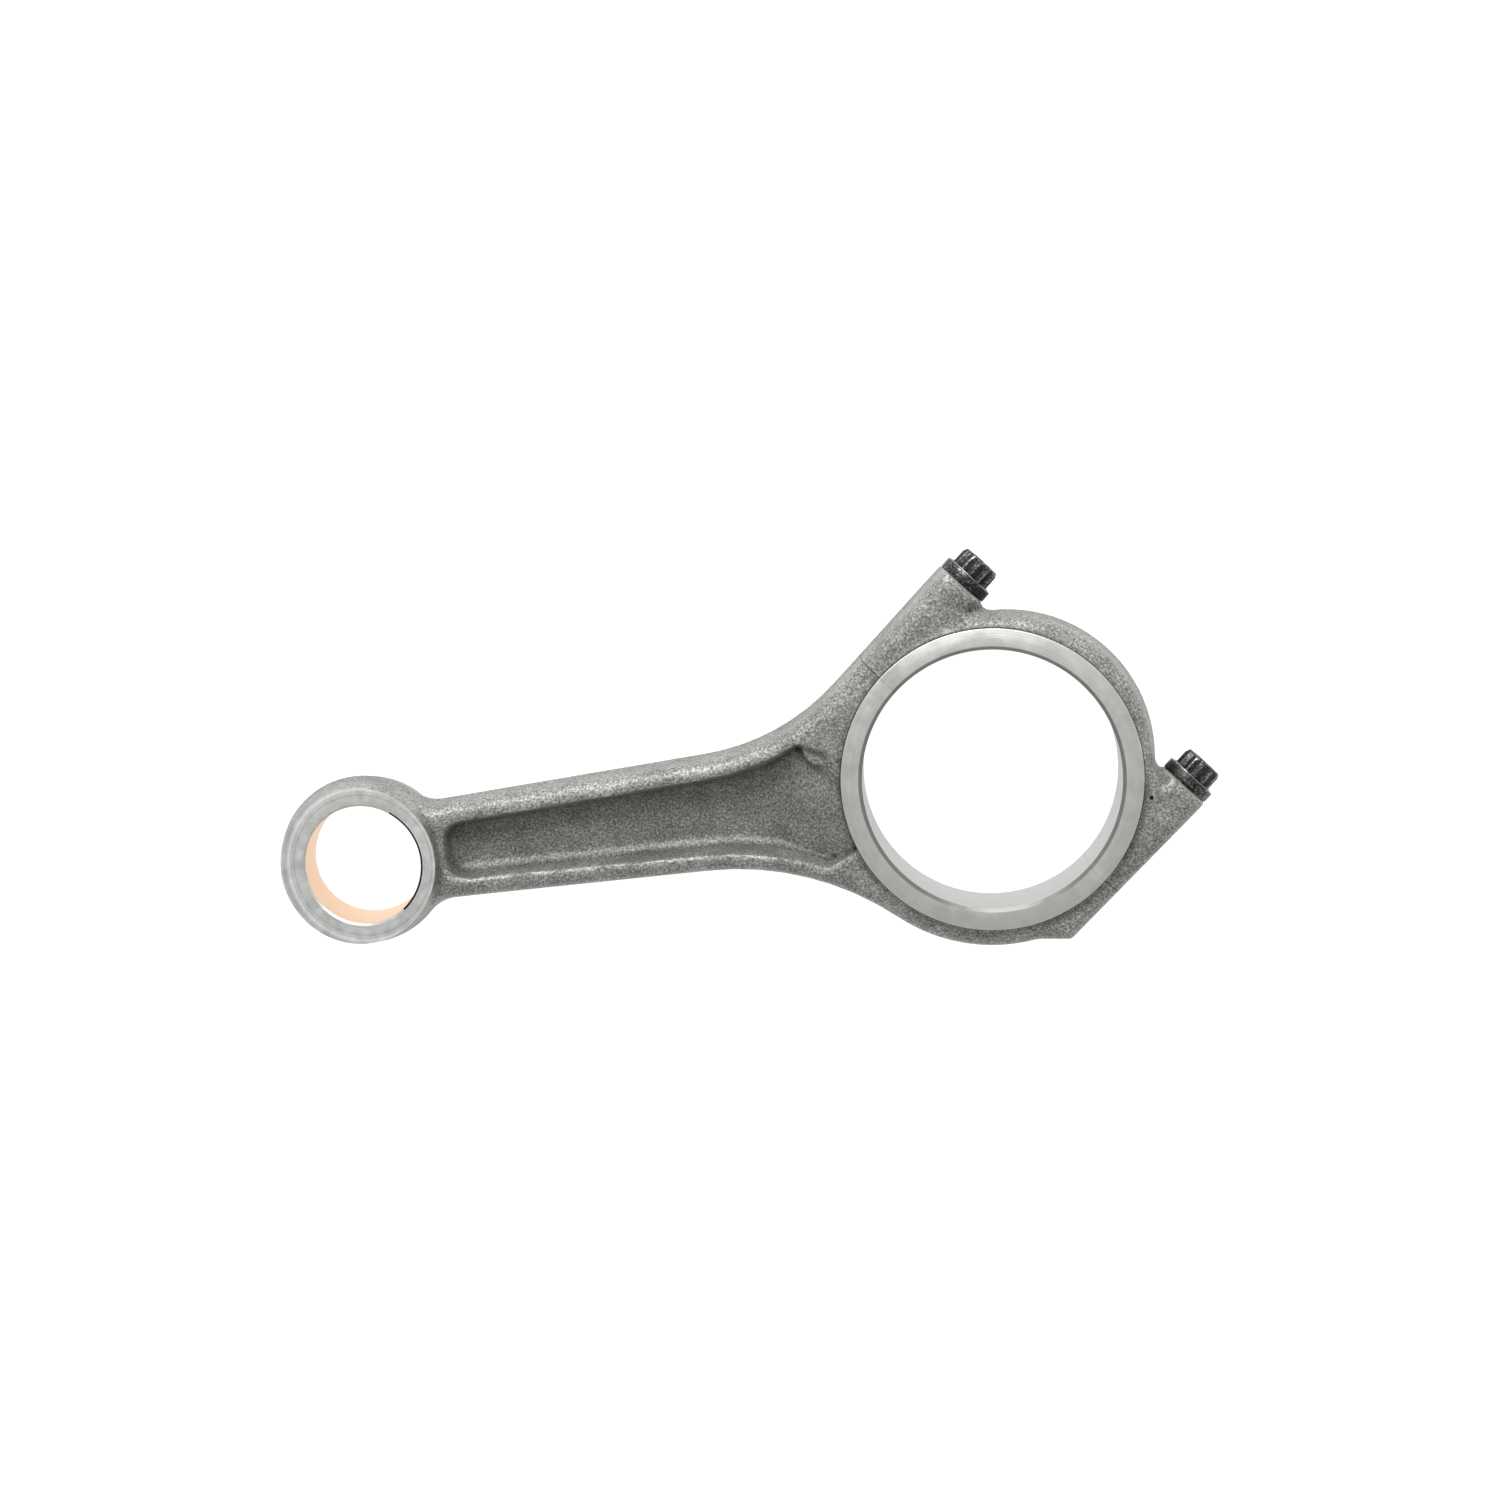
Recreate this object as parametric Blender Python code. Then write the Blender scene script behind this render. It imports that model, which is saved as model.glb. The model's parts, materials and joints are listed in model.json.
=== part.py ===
"""Connecting rod with an obliquely split big end and a tapered, bushed small end.

Everything is modelled about the big-end axis: X runs along the rod from the small end to the
big end, Y across it, and Z along the bores. An empty then carries the whole rod, so that it
lies on its side faces with the middle of its footprint at the origin.
"""
import math

import bmesh
import bpy
from mathutils import Matrix, Vector

# Both ends, in metres.
CENTRE_DISTANCE = 0.203     # small-end axis to big-end axis
FACE_WIDTH = 0.038          # over the machined side faces
FIT_GAP = 0.0003            # left between two pieces that touch

# Big end.
BIG_BORE = 0.0826           # diameter that the bearing shells sit in
BORE_CHAMFER = 0.0011
RING_WALL = 0.0068          # machined ring round the bore
RING_CHAMFER = 0.0005
RING_STEP = 0.0025          # ring proud of the forged body, on each side
CROWN_RIM = 0.0067          # forged rim outside the ring, at the middle of the cap
CROWN_OFFSET = 0.0074       # the cap's round is struck this far out along the bolts
HEEL_RIM = 0.0073           # forged rim outside the ring, on the rod's heel
HEEL_EDGE_ANGLE = -82       # degrees: where the heel's round gives way to the lower boss
HEEL_BOSS = 0.0221          # lower boss, from the split to its corner
HEEL_NARROWING = 0.0020     # its corner inside the line of the ear's outer side
FORGING_DRAFT = 7           # degrees, from the parting line in the middle plane

# Joint between rod and cap.
SPLIT_ANGLE = 40            # degrees between the bolts and the rod's centreline
BOLT_WALL = 0.0012          # between bolt hole and bore
EAR_INNER = 0.0088          # bolt axis to the ear's inner side
EAR_OUTER = 0.0091          # bolt axis to the ear's outer side
CROWN_START = 0.0121        # bolt axis to the end of the cap's round
SEAT_STEP = 0.0005          # bolt seat above the end of the cap's round
NOTCH_DEPTH = 0.0016        # seat to the bottom of the notch between ear and round
EAR_STOCK = 0.003           # forged height that the seat's spot face removes

# Cap bolts.
SHANK_DIAMETER = 0.0104
THREAD_ENGAGEMENT = 0.0205  # bolt beyond the split
BLIND_CLEARANCE = 0.0035    # upper hole beyond the bolt's end
BOLT_POINT = 0.0010         # chamfer on the bolt's end
FLANGE_DIAMETER = 0.0174
FLANGE_THICKNESS = 0.0035
HEAD_CORNERS = 0.0134       # twelve-point head over its corners
HEAD_HEIGHT = 0.0058
HEAD_CHAMFER = 0.0008

# Small end.
PIN_BORE = 0.038
BUSH_WALL = 0.0022
BUSH_RECESS = 0.0003        # bush ends below the side faces
EYE_WALL = 0.0061           # eye outside its bore, in the middle plane
EYE_OFFSET = 0.0013         # eye's outline beyond the pin axis, towards the tip
TAPER_ANGLE = 11.5          # degrees that each side face leans in towards the tip
TAPER_START = 0.0136        # pin axis to where the taper starts, towards the shank

# Shank.
SMALL_ROOT = 0.038          # pin axis to the shank's narrow station
BIG_ROOT = 0.095            # big-end axis to its wide station
DEPTH_ROOT = 0.062          # big-end axis to where the shank is as deep as the body
SHANK_WIDTH_SMALL = 0.0332
SHANK_WIDTH_BIG = 0.0376
SHANK_DEPTH = 0.026         # at the narrow station
EYE_FILLET = 0.012
EAR_FILLET = 0.072
HEEL_FILLET = 0.090
RIM_RADIUS = 0.0035         # rounding of the forged rim

# Pocket in each side of the shank.
WEB_THICKNESS = 0.007
FLANGE_WIDTH = 0.0066       # flange from the parting line to the pocket's mouth
POCKET_DRAFT = 10           # degrees
FLOOR_FILLET = 0.0020
POCKET_START = 0.0255       # pin axis to the pocket's end
POCKET_CORNER = 0.0065      # at its mouth
POCKET_UPPER_ANGLE = 165    # degrees round the big end to the pocket's upper corner
POCKET_LOWER_ANGLE = 201

ARC_STEP = math.radians(5)
ROUND_SEGMENTS = 72
BOLT_SEGMENTS = 36

SIDE = FACE_WIDTH / 2
BORE_RADIUS = BIG_BORE / 2
RING_RADIUS = BORE_RADIUS + RING_WALL
BODY_DEPTH = FACE_WIDTH - 2 * RING_STEP
CROWN_RADIUS = RING_RADIUS + CROWN_RIM - CROWN_OFFSET
HEEL_RADIUS = RING_RADIUS + HEEL_RIM
HOLE_RADIUS = SHANK_DIAMETER / 2 + FIT_GAP
BOLT_OFFSET = BORE_RADIUS + BOLT_WALL + HOLE_RADIUS
CROWN_END = CROWN_OFFSET + math.sqrt(CROWN_RADIUS**2 - (BOLT_OFFSET - CROWN_START)**2)
SEAT_HEIGHT = CROWN_END + SEAT_STEP
EYE_BORE_RADIUS = PIN_BORE / 2 + BUSH_WALL
EYE_RADIUS = EYE_BORE_RADIUS + EYE_WALL
DRAFT = math.tan(math.radians(FORGING_DRAFT))
SPLIT = math.radians(SPLIT_ANGLE)
BOLT_DIRECTION = Vector((math.cos(SPLIT), math.sin(SPLIT)))
ACROSS = Vector((-math.sin(SPLIT), math.cos(SPLIT)))
BIG_CENTRE = Vector((0, 0))
PIN_CENTRE = Vector((-CENTRE_DISTANCE, 0))
EYE_CENTRE = PIN_CENTRE - Vector((EYE_OFFSET, 0))
OVERSIZE = 4 * CENTRE_DISTANCE   # longer than anything that it cuts


def new_object(name, bm):
    """Turn a bmesh into an object of the scene."""
    bmesh.ops.remove_doubles(bm, verts=bm.verts, dist=1e-7)
    bmesh.ops.recalc_face_normals(bm, faces=bm.faces)
    mesh = bpy.data.meshes.new(name)
    bm.to_mesh(mesh)
    bm.free()
    obj = bpy.data.objects.new(name, mesh)
    bpy.context.collection.objects.link(obj)
    return obj


def stacked(name, outlines):
    """A solid through outlines of equally many points, one above the other: (points, z) pairs."""
    bm = bmesh.new()
    points, height = outlines[0]
    face = bm.faces.new([bm.verts.new((*point, height)) for point in points])
    inner = []
    for points, height in outlines[1:]:
        grown = bmesh.ops.extrude_face_region(bm, geom=[face])["geom"]
        face = next(item for item in grown if isinstance(item, bmesh.types.BMFace))
        for vert, point in zip(face.verts, points):
            vert.co = (*point, height)
        inner.append(face)
    bmesh.ops.delete(bm, geom=inner[:-1], context="FACES_ONLY")
    return new_object(name, bm)


def turned(name, profile, segments=ROUND_SEGMENTS, closed=False):
    """A solid of revolution about Z from (radius, z) points; closed joins the last to the first."""
    bm = bmesh.new()
    verts = [bm.verts.new((radius, 0, height)) for radius, height in profile]
    edges = [bm.edges.new(pair) for pair in zip(verts, verts[1:])]
    if closed:
        edges.append(bm.edges.new((verts[-1], verts[0])))
    bmesh.ops.spin(bm, geom=verts + edges, axis=(0, 0, 1), cent=(0, 0, 0),
                   angle=math.tau, steps=segments, use_merge=True)
    return new_object(name, bm)


def block(name, low, high):
    """A box between two corners, given across the split, along the bolts and in Z."""
    bm = bmesh.new()
    bmesh.ops.create_cube(bm, size=1)
    for vert in bm.verts:
        across, along, height = (a if c < 0 else b for a, b, c in zip(low, high, vert.co))
        vert.co = (*at_split(across, along), height)
    return new_object(name, bm)


def combine(target, operation, *tools):
    """Apply a Boolean with each tool in turn; the tools are used up."""
    for tool in tools:
        modifier = target.modifiers.new(operation, "BOOLEAN")
        modifier.operation = operation
        modifier.solver = "EXACT"
        modifier.object = tool
        depsgraph = bpy.context.evaluated_depsgraph_get()
        result = bpy.data.meshes.new_from_object(target.evaluated_get(depsgraph))
        target.modifiers.clear()
        target.data = result
        bpy.data.objects.remove(tool)
    return target


def place(obj, centre, direction=None):
    """Stand a piece's Z axis on a direction in the XY plane, at a point of that plane."""
    obj.location = (*centre, 0)
    if direction is not None:
        turn = Vector((0, 0, 1)).rotation_difference(Vector((*direction, 0)))
        obj.rotation_euler = turn.to_euler()
    bpy.context.view_layer.update()
    return obj


def at_split(across, along):
    """A point of the XY plane, given across and along the bolts from the big-end axis."""
    return ACROSS * across + BOLT_DIRECTION * along


def arc(centre, start, end):
    """Points round a centre from start to end, the short way, both ends included."""
    first = math.atan2(start.y - centre.y, start.x - centre.x)
    turn = math.remainder(math.atan2(end.y - centre.y, end.x - centre.x) - first, math.tau)
    steps = max(2, math.ceil(abs(turn) / ARC_STEP))
    radius = (start - centre).length
    return [centre + radius * Vector((math.cos(first + turn * k / steps),
                                      math.sin(first + turn * k / steps)))
            for k in range(steps + 1)]


def line_normals(side):
    """A shank edge: a point on it, its direction and its outward normal; side is 1 or -1."""
    narrow = Vector((SMALL_ROOT - CENTRE_DISTANCE, side * SHANK_WIDTH_SMALL / 2))
    wide = Vector((-BIG_ROOT, side * SHANK_WIDTH_BIG / 2))
    direction = (wide - narrow).normalized()
    return narrow, direction, side * Vector((-direction.y, direction.x))


def fillet_on_circle(side, radius, circle, circle_radius, sign):
    """Centre of a fillet outside both a shank edge and a circle; sign picks the one along X."""
    point, direction, outward = line_normals(side)
    start = point + radius * outward - circle
    half = start.dot(direction)
    reach = half**2 - start.length_squared + (circle_radius + radius)**2
    return circle + start + (sign * math.sqrt(reach) - half) * direction


def ear_fillet_centre():
    """Centre of the fillet between the upper shank edge and the upper ear's outer side."""
    point, direction, outward = line_normals(1)
    ear = at_split(BOLT_OFFSET + EAR_OUTER, 0)
    start = point + EAR_FILLET * outward
    travel = (EAR_FILLET - (start - ear).dot(ACROSS)) / direction.dot(ACROSS)
    return start + travel * direction


def on_line(centre, side):
    """The foot of a point on a shank edge."""
    point, direction, _ = line_normals(side)
    return point + (centre - point).dot(direction) * direction


UPPER_EYE = fillet_on_circle(1, EYE_FILLET, EYE_CENTRE, EYE_RADIUS, 1)
LOWER_EYE = fillet_on_circle(-1, EYE_FILLET, EYE_CENTRE, EYE_RADIUS, 1)
HEEL = fillet_on_circle(-1, HEEL_FILLET, BIG_CENTRE, HEEL_RADIUS, -1)
EAR = ear_fillet_centre()


def forged_outline():
    """The forging seen along the bores, clockwise from its root inside the eye."""
    def on_eye(centre):
        return EYE_CENTRE + EYE_RADIUS * (centre - EYE_CENTRE).normalized()

    root = Vector((0, EYE_RADIUS - RIM_RADIUS))
    ear_top = SEAT_HEIGHT + EAR_STOCK
    inner = BOLT_OFFSET - EAR_INNER
    outer = BOLT_OFFSET + EAR_OUTER
    notch = SEAT_HEIGHT - NOTCH_DEPTH
    crown_edge = BOLT_OFFSET - CROWN_START
    heel_edge = math.radians(HEEL_EDGE_ANGLE)
    heel_start = HEEL_RADIUS * Vector((math.cos(heel_edge), math.sin(heel_edge)))
    heel_end = HEEL_RADIUS * HEEL.normalized()
    return [
        EYE_CENTRE - root,
        EYE_CENTRE + root,
        *arc(UPPER_EYE, on_eye(UPPER_EYE), on_line(UPPER_EYE, 1)),
        *arc(EAR, on_line(EAR, 1), EAR - EAR_FILLET * ACROSS),
        at_split(outer, ear_top),
        at_split(inner, ear_top),
        at_split(inner, notch),
        *arc(at_split(0, CROWN_OFFSET), at_split(crown_edge, CROWN_END),
             at_split(-crown_edge, CROWN_END)),
        at_split(-inner, notch),
        at_split(-inner, ear_top),
        at_split(-outer, ear_top),
        at_split(HEEL_NARROWING - outer, -HEEL_BOSS),
        *arc(BIG_CENTRE, heel_start, heel_end),
        *arc(HEEL, heel_end, on_line(HEEL, -1))[1:],
        *arc(LOWER_EYE, on_line(LOWER_EYE, -1), on_eye(LOWER_EYE)),
    ]


def half_depth(x):
    """Half the forging's depth: it grows along the shank, up to the big end's body."""
    near = SMALL_ROOT - CENTRE_DISTANCE
    share = min(max((x - near) / (-DEPTH_ROOT - near), 0), 1)
    return (SHANK_DEPTH + share * (BODY_DEPTH - SHANK_DEPTH)) / 2


def drafted(points):
    """A clockwise outline at the forging's side faces: each point moved in by the draft."""
    moved = []
    for before, point, after in zip(points[-1:] + points, points, points[1:] + points[:1]):
        first = (point - before).normalized()
        second = (after - point).normalized()
        inward = Vector((first.y + second.y, -first.x - second.x)) / (1 + first.dot(second))
        moved.append(point + half_depth(point.x) * DRAFT * inward)
    return moved


def forged_plate():
    """The shank and the big end's body, drafted from the parting line, with a rounded rim."""
    middle = forged_outline()
    side = drafted(middle)
    plate = stacked("plate", [(side, -1), (middle, 0), (side, 1)])
    bm = bmesh.new()
    bm.from_mesh(plate.data)
    for station in (SMALL_ROOT - CENTRE_DISTANCE, -DEPTH_ROOT):
        bmesh.ops.bisect_plane(bm, geom=[*bm.verts, *bm.edges, *bm.faces],
                               plane_co=(station, 0, 0), plane_no=(1, 0, 0))
    for vert in bm.verts:
        vert.co.z *= half_depth(vert.co.x)
    bm.normal_update()
    rim = [edge for edge in bm.edges
           if len({abs(face.normal.z) > 0.5 for face in edge.link_faces}) == 2]
    bmesh.ops.bevel(bm, geom=rim, offset=RIM_RADIUS, segments=3, profile=0.5, affect="EDGES")
    bpy.data.objects.remove(plate)
    return new_object("forged_plate", bm)


def pocket_outline(inset):
    """The pocket seen along the bores, inset from the forging's rim."""
    deeper = inset - FLANGE_WIDTH
    left = POCKET_START - CENTRE_DISTANCE + deeper
    round_end = max(POCKET_CORNER - deeper, FLOOR_FILLET)

    def edge(side, centre):
        _, _, outward = line_normals(side)
        return on_line(centre, side) - inset * outward

    def corner(side):
        point, direction, outward = line_normals(side)
        start = point - (inset + round_end) * outward
        middle = start + (left + round_end - start.x) / direction.x * direction
        return middle, middle + round_end * outward

    def on_ring(angle):
        turn = math.radians(angle)
        return (BORE_RADIUS + RING_WALL / 2) * Vector((math.cos(turn), math.sin(turn)))

    def towards(centre, radius, angle):
        turn = math.radians(angle)
        target = RING_RADIUS * Vector((math.cos(turn), math.sin(turn))) * 1.25
        return centre + (radius + inset) * (target - centre).normalized()

    upper_middle, upper_corner = corner(1)
    lower_middle, lower_corner = corner(-1)
    west = Vector((-round_end, 0))
    return [
        *arc(upper_middle, upper_middle + west, upper_corner),
        *arc(EAR, edge(1, EAR), towards(EAR, EAR_FILLET, POCKET_UPPER_ANGLE)),
        on_ring(POCKET_UPPER_ANGLE),
        on_ring(POCKET_LOWER_ANGLE),
        *arc(HEEL, towards(HEEL, HEEL_FILLET, POCKET_LOWER_ANGLE), edge(-1, HEEL)),
        *arc(lower_middle, lower_corner, lower_middle + west),
    ]


def pocket(side):
    """Cutter for the pocket in one side of the shank: drafted walls and a filleted floor."""
    floor = WEB_THICKNESS / 2
    mouth = BODY_DEPTH / 2
    above = mouth + RIM_RADIUS
    slope = math.tan(math.radians(POCKET_DRAFT))

    def inset(height):
        return FLANGE_WIDTH + (mouth - height) * slope

    heights = [(above, 0), (floor + FLOOR_FILLET, 0), (floor, FLOOR_FILLET)]
    return stacked("pocket", [(pocket_outline(inset(height) + extra), side * height)
                              for height, extra in heights])


def eye_blank():
    """The forged eye of the small end, drafted from its middle plane to its side faces."""
    face = EYE_RADIUS - SIDE * DRAFT
    profile = [(0, -SIDE), (face, -SIDE), (EYE_RADIUS, 0), (face, SIDE), (0, SIDE)]
    return place(turned("eye", profile), EYE_CENTRE)


def ring_blank():
    """The full-width ring round the big-end bore, before it is bored."""
    flat = RING_RADIUS - RING_CHAMFER
    step = SIDE - RING_CHAMFER
    profile = [(0, -SIDE), (flat, -SIDE), (RING_RADIUS, -step), (RING_RADIUS, step), (flat, SIDE),
               (0, SIDE)]
    return turned("ring", profile)


def bore(radius, chamfer, centre):
    """Cutter for a through bore with chamfered mouths."""
    reach = SIDE + chamfer
    wide = radius + 2 * chamfer
    step = SIDE - chamfer
    profile = [(0, -reach), (wide, -reach), (radius, -step), (radius, step), (wide, reach),
               (0, reach)]
    return place(turned("bore", profile), centre)


def taper(side, depth=0.0):
    """Cutter that leans one side face of the small end in; depth lowers it further."""
    slope = math.tan(math.radians(TAPER_ANGLE))
    start = TAPER_START - CENTRE_DISTANCE
    height = SIDE - depth
    ends = [start + EYE_RADIUS, start - 3 * EYE_RADIUS]
    corners = [(x, height + (x - start) * slope) for x in ends]
    top = SIDE + EYE_RADIUS
    corners += [(ends[1], top), (ends[0], top)]
    bm = bmesh.new()
    face = bm.faces.new([bm.verts.new((x, -2 * EYE_RADIUS, side * z)) for x, z in corners])
    grown = bmesh.ops.extrude_face_region(bm, geom=[face])["geom"]
    moved = [item for item in grown if isinstance(item, bmesh.types.BMVert)]
    bmesh.ops.translate(bm, verts=moved, vec=(0, 4 * EYE_RADIUS, 0))
    return new_object("taper", bm)


def bolt_hole(side):
    """Cutter for a bolt's hole: blind behind the shank, right through at the heel."""
    end = -(THREAD_ENGAGEMENT + BLIND_CLEARANCE) if side > 0 else -2 * HEEL_RADIUS
    point = end - HOLE_RADIUS * math.tan(math.radians(30))
    top = SEAT_HEIGHT + EAR_STOCK * 3
    profile = [(0, point), (HOLE_RADIUS, end), (HOLE_RADIUS, top), (0, top)]
    hole = turned("hole", profile, BOLT_SEGMENTS)
    return place(hole, at_split(side * BOLT_OFFSET, 0), BOLT_DIRECTION)


def seat(side):
    """Cutter for the spot face that a bolt's flange sits on."""
    inner = side * (BOLT_OFFSET - EAR_INNER - FIT_GAP)
    outer = side * (BOLT_OFFSET + 3 * EAR_OUTER)
    return block("seat", (min(inner, outer), SEAT_HEIGHT, -BODY_DEPTH),
                 (max(inner, outer), SEAT_HEIGHT + 3 * EAR_STOCK, BODY_DEPTH))


def whole_forging():
    """Rod and cap as one piece, machined all over but not yet parted."""
    forging = forged_plate()
    combine(forging, "DIFFERENCE", pocket(1), pocket(-1))
    combine(forging, "UNION", ring_blank(), eye_blank())
    combine(forging, "DIFFERENCE", taper(1), taper(-1), bore(BORE_RADIUS, BORE_CHAMFER, BIG_CENTRE),
            bore(EYE_BORE_RADIUS, FIT_GAP, PIN_CENTRE))
    for side in (1, -1):
        combine(forging, "DIFFERENCE", bolt_hole(side), seat(side))
    return forging


def parted(name, forging, low, high):
    """A copy of the forging without what lies between two heights along the bolts."""
    piece = bpy.data.objects.new(name, forging.data.copy())
    bpy.context.collection.objects.link(piece)
    return combine(piece, "DIFFERENCE", block("beyond", (-OVERSIZE, low, -OVERSIZE),
                                              (OVERSIZE, high, OVERSIZE)))


def small_end_bush():
    """Bronze bush pressed into the eye and faced with it, so its ends lean in as well."""
    end = SIDE - BUSH_RECESS
    inner = PIN_BORE / 2
    outer = EYE_BORE_RADIUS - FIT_GAP
    profile = [(inner, -end), (outer, -end), (outer, end), (inner, end)]
    bush = place(turned("small_end_bush", profile, closed=True), PIN_CENTRE)
    return combine(bush, "DIFFERENCE", taper(1, BUSH_RECESS), taper(-1, BUSH_RECESS))


def cap_bolt_mesh():
    """Twelve-point flange bolt, standing on its flange's underside with its shank below."""
    shank = SHANK_DIAMETER / 2
    end = -(SEAT_HEIGHT + THREAD_ENGAGEMENT)
    flange = FLANGE_DIAMETER / 2
    chamfer = FLANGE_THICKNESS / 5
    overlap = FLANGE_THICKNESS / 2
    profile = [(0, end), (shank - BOLT_POINT, end), (shank, end + BOLT_POINT), (shank, 0),
               (flange, 0), (flange, FLANGE_THICKNESS - chamfer),
               (flange - chamfer, FLANGE_THICKNESS), (0, FLANGE_THICKNESS)]
    bolt = turned("bolt", profile, BOLT_SEGMENTS)
    tip = HEAD_CORNERS / 2
    valley = tip * math.cos(math.radians(30)) / math.cos(math.radians(15))
    star = [Vector((math.cos(k * math.tau / 24), math.sin(k * math.tau / 24)))
            * (valley if k % 2 else tip) for k in range(24)]
    top = FLANGE_THICKNESS + HEAD_HEIGHT
    shrunk = [point * (1 - HEAD_CHAMFER / tip) for point in star]
    head = stacked("head", [(star, overlap), (star, top - HEAD_CHAMFER / 2), (shrunk, top)])
    combine(bolt, "UNION", head)
    mesh = bolt.data
    bpy.data.objects.remove(bolt)
    return mesh


def finish(obj, colour, roughness, metallic):
    """Give a piece its material and its shading."""
    material = bpy.data.materials.new(obj.name)
    material.use_nodes = True
    surface = material.node_tree.nodes["Principled BSDF"]
    surface.inputs["Base Color"].default_value = (*colour, 1)
    surface.inputs["Roughness"].default_value = roughness
    surface.inputs["Metallic"].default_value = metallic
    obj.data.materials.clear()
    obj.data.materials.append(material)
    obj.data.shade_smooth()
    obj.data.set_sharp_from_angle(angle=math.radians(30))


def carry(pieces):
    """Parent everything to an empty that puts the rod's footprint about the origin."""
    bpy.context.view_layer.update()
    corners = [piece.matrix_world @ vert.co for piece in pieces for vert in piece.data.vertices]
    low = [min(corner[axis] for corner in corners) for axis in range(3)]
    high = [max(corner[axis] for corner in corners) for axis in range(3)]
    frame = bpy.data.objects.new("rod_frame", None)
    bpy.context.collection.objects.link(frame)
    for piece in pieces:
        piece.parent = frame
    frame.location = (-(low[0] + high[0]) / 2, -(low[1] + high[1]) / 2, -low[2])


for leftover in list(bpy.data.objects):
    bpy.data.objects.remove(leftover)

forging = whole_forging()
rod = parted("rod_forging", forging, -FIT_GAP / 2, OVERSIZE)
cap = parted("bearing_cap", forging, -OVERSIZE, FIT_GAP / 2)
bpy.data.objects.remove(forging)
bush = small_end_bush()
bolt_mesh = cap_bolt_mesh()
bolts = []
for name, side in (("upper_cap_bolt", 1), ("lower_cap_bolt", -1)):
    bolt = bpy.data.objects.new(name, bolt_mesh.copy())
    bpy.context.collection.objects.link(bolt)
    bolts.append(place(bolt, at_split(side * BOLT_OFFSET, SEAT_HEIGHT + FIT_GAP), BOLT_DIRECTION))

finish(rod, (0.20, 0.20, 0.19), 0.55, 0.9)
finish(cap, (0.20, 0.20, 0.19), 0.55, 0.9)
finish(bush, (0.80, 0.55, 0.36), 0.35, 1.0)
for bolt in bolts:
    finish(bolt, (0.03, 0.03, 0.032), 0.45, 0.9)
carry([rod, cap, bush, *bolts])
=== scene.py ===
"""A forged connecting rod with its bearing cap, bolts and bush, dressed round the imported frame.

The rod lies on its side faces: +X runs from the small end to the big end and +Z along both
bores. Sizes are in metres. The sections follow the rod as it is made and put together.
"""
import json
import math

import bmesh
import bpy
from mathutils import Euler, Matrix, Vector


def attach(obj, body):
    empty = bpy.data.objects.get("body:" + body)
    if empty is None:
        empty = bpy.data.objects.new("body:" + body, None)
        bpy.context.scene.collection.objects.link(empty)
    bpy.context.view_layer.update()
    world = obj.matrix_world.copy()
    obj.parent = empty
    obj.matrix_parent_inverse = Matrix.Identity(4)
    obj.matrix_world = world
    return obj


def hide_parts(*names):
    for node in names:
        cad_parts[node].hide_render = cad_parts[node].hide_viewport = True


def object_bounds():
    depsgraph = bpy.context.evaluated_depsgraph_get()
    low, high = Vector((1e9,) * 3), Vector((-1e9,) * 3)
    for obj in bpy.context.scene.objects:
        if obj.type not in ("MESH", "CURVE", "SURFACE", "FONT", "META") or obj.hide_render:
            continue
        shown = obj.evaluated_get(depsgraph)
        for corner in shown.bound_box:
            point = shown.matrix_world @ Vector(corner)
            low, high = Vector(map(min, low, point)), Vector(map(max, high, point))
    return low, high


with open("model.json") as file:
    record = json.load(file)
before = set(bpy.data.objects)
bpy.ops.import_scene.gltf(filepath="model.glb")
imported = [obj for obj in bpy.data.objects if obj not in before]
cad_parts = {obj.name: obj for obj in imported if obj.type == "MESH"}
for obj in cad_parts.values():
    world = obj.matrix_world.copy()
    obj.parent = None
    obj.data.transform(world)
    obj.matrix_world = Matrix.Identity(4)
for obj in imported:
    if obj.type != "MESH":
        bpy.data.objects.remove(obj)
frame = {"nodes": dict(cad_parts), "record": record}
cad_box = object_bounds()

# --- The forging -----------------------------------------------------------------------
# Rod and cap are drop-forged as one piece of carbon steel, which is later broken in two.
# The dies leave drafted sides, soft blends and a shallow pocket in each side of the shank.
# Here the two functional solids are joined again, filled up and relaxed into soft blends.

BORE_RADIUS = 0.0413          # big end, where the bearing shells sit
RING_RADIUS = 0.0481          # machined ring round it
EYE_RADIUS = 0.0273           # eye, at the parting line
EYE_OFFSET = 0.0013           # its centre beyond the pin axis
EYE_HALF_STOCK = 0.022        # eye, each way from the parting line, before its faces are milled
BOLT_OFFSET = 0.0480          # bolt axis from the big-end axis
DRAFT = math.tan(math.radians(7))
FORGING_VOXEL = 0.00095       # fineness of the forging's skin


def opening_centre(name):
    """The axis of a bore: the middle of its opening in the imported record."""
    boxes = {entry["name"]: entry["box_m"] for entry in frame["record"]["physics"]["openings"]}
    low, high = boxes[name]
    return Vector(((low[0] + high[0]) / 2, (low[1] + high[1]) / 2, 0))


big_end = opening_centre("big_end_bore")
pin = opening_centre("pin_bore")
bottom, top = cad_box[0][2], cad_box[1][2]
middle = (bottom + top) / 2
width = top - bottom
along = Vector(next(j["axis"] for j in frame["record"]["behaviour"]["joints"])).normalized()
across = Vector((-along.y, along.x, 0))
split_angle = math.atan2(along.y, along.x)
along_bolts = Euler((0, math.pi / 2, split_angle))


def at_split(sideways, outwards, height=middle):
    """A point given across the bolts and along them from the big-end axis, at a height."""
    return big_end + across * sideways + along * outwards + Vector((0, 0, height))


def single_out(piece):
    """Leave one piece selected and active, so that an operator acts on nothing else."""
    bpy.ops.object.select_all(action="DESELECT")
    piece.select_set(True)
    bpy.context.view_layer.objects.active = piece


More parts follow.
